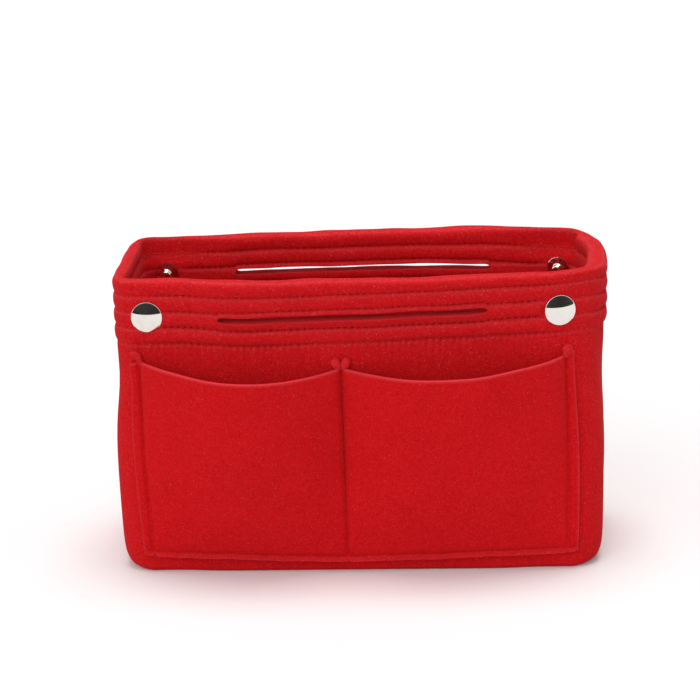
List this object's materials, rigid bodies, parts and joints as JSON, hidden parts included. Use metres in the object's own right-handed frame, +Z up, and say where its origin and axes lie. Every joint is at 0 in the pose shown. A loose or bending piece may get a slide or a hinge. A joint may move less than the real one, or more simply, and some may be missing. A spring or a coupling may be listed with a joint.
{
  "type": "purse organizer insert",
  "caption": "Open-topped felt organizer insert for a handbag, with sewn hem, finger slits, front and back pockets and press studs that pinch its ends shut.",
  "frame": {"origin": "middle of the underside", "axes": "+X to the right end as seen from the front, +Y to the back, +Z up"},
  "size_m": [0.22, 0.1252, 0.138],
  "materials": {
    "felt": "matt red pressed felt with fine loose fibres, and thread of the same red",
    "nickel": "bright nickel plate",
    "spring_wire": "drawn steel wire"
  },
  "bodies": {
    "root": {"base_panel": "felt", "front_wall": "felt", "back_wall": "felt", "front_pocket_panel": "felt", "back_pocket_panel": "felt"},
    "front_right_corner": {"front_right_corner_panel": "felt", "snap_cap_right": "nickel", "snap_socket_right": "nickel", "snap_spring_right": "spring_wire"},
    "back_right_corner": {"back_right_corner_panel": "felt", "snap_stud_right": "nickel", "snap_post_right": "nickel"},
    "right_end_front": {"right_end_front_panel": "felt"},
    "right_end_back": {"right_end_back_panel": "felt"},
    "front_left_corner": {"front_left_corner_panel": "felt", "snap_cap_left": "nickel", "snap_socket_left": "nickel", "snap_spring_left": "spring_wire"},
    "back_left_corner": {"back_left_corner_panel": "felt", "snap_stud_left": "nickel", "snap_post_left": "nickel"},
    "left_end_front": {"left_end_front_panel": "felt"},
    "left_end_back": {"left_end_back_panel": "felt"}
  },
  "joints": [
    {"name": "right_end_pinch", "type": "hinge", "parent": "root", "child": "front_right_corner", "pos_m": [0.092, -0.037, 0.0033], "axis": [-1, 0, 0], "range_deg": [0, 14.5], "stiffness_Nm_per_rad": 0.05, "springref_deg": -2.86},
    {"name": "right_back_lean", "type": "hinge", "parent": "root", "child": "back_right_corner", "pos_m": [0.092, 0.037, 0.0033], "axis": [1, 0, 0], "range_deg": [0, 14.5], "stiffness_Nm_per_rad": 0.05, "springref_deg": -2.86},
    {"name": "right_end_front_fold", "type": "hinge", "parent": "front_right_corner", "child": "right_end_front", "pos_m": [0.11, -0.037, 0.0033], "axis": [0.692, 0.7161, 0.0911], "range_deg": [0, 20.85], "stiffness_Nm_per_rad": 0.02},
    {"name": "right_end_back_fold", "type": "hinge", "parent": "back_right_corner", "child": "right_end_back", "pos_m": [0.11, 0.037, 0.0033], "axis": [-0.692, 0.7161, -0.0911], "range_deg": [0, 20.85], "stiffness_Nm_per_rad": 0.02},
    {"name": "left_end_pinch", "type": "hinge", "parent": "root", "child": "front_left_corner", "pos_m": [-0.092, -0.037, 0.0033], "axis": [-1, 0, 0], "range_deg": [0, 14.5], "stiffness_Nm_per_rad": 0.05, "springref_deg": -2.86},
    {"name": "left_back_lean", "type": "hinge", "parent": "root", "child": "back_left_corner", "pos_m": [-0.092, 0.037, 0.0033], "axis": [1, 0, 0], "range_deg": [0, 14.5], "stiffness_Nm_per_rad": 0.05, "springref_deg": -2.86},
    {"name": "left_end_front_fold", "type": "hinge", "parent": "front_left_corner", "child": "left_end_front", "pos_m": [-0.11, -0.037, 0.0033], "axis": [0.692, -0.7161, -0.0911], "range_deg": [0, 20.85], "stiffness_Nm_per_rad": 0.02},
    {"name": "left_end_back_fold", "type": "hinge", "parent": "back_left_corner", "child": "left_end_back", "pos_m": [-0.11, 0.037, 0.0033], "axis": [-0.692, -0.7161, 0.0911], "range_deg": [0, 20.85], "stiffness_Nm_per_rad": 0.02}
  ],
  "couplings": [
    {"joint": "right_back_lean", "follows": "right_end_pinch", "ratio": 1},
    {"joint": "right_end_front_fold", "follows": "right_end_pinch", "ratio": 1.4368},
    {"joint": "right_end_back_fold", "follows": "right_end_pinch", "ratio": 1.4368},
    {"joint": "left_back_lean", "follows": "left_end_pinch", "ratio": 1},
    {"joint": "left_end_front_fold", "follows": "left_end_pinch", "ratio": 1.4368},
    {"joint": "left_end_back_fold", "follows": "left_end_pinch", "ratio": 1.4368}
  ]
}
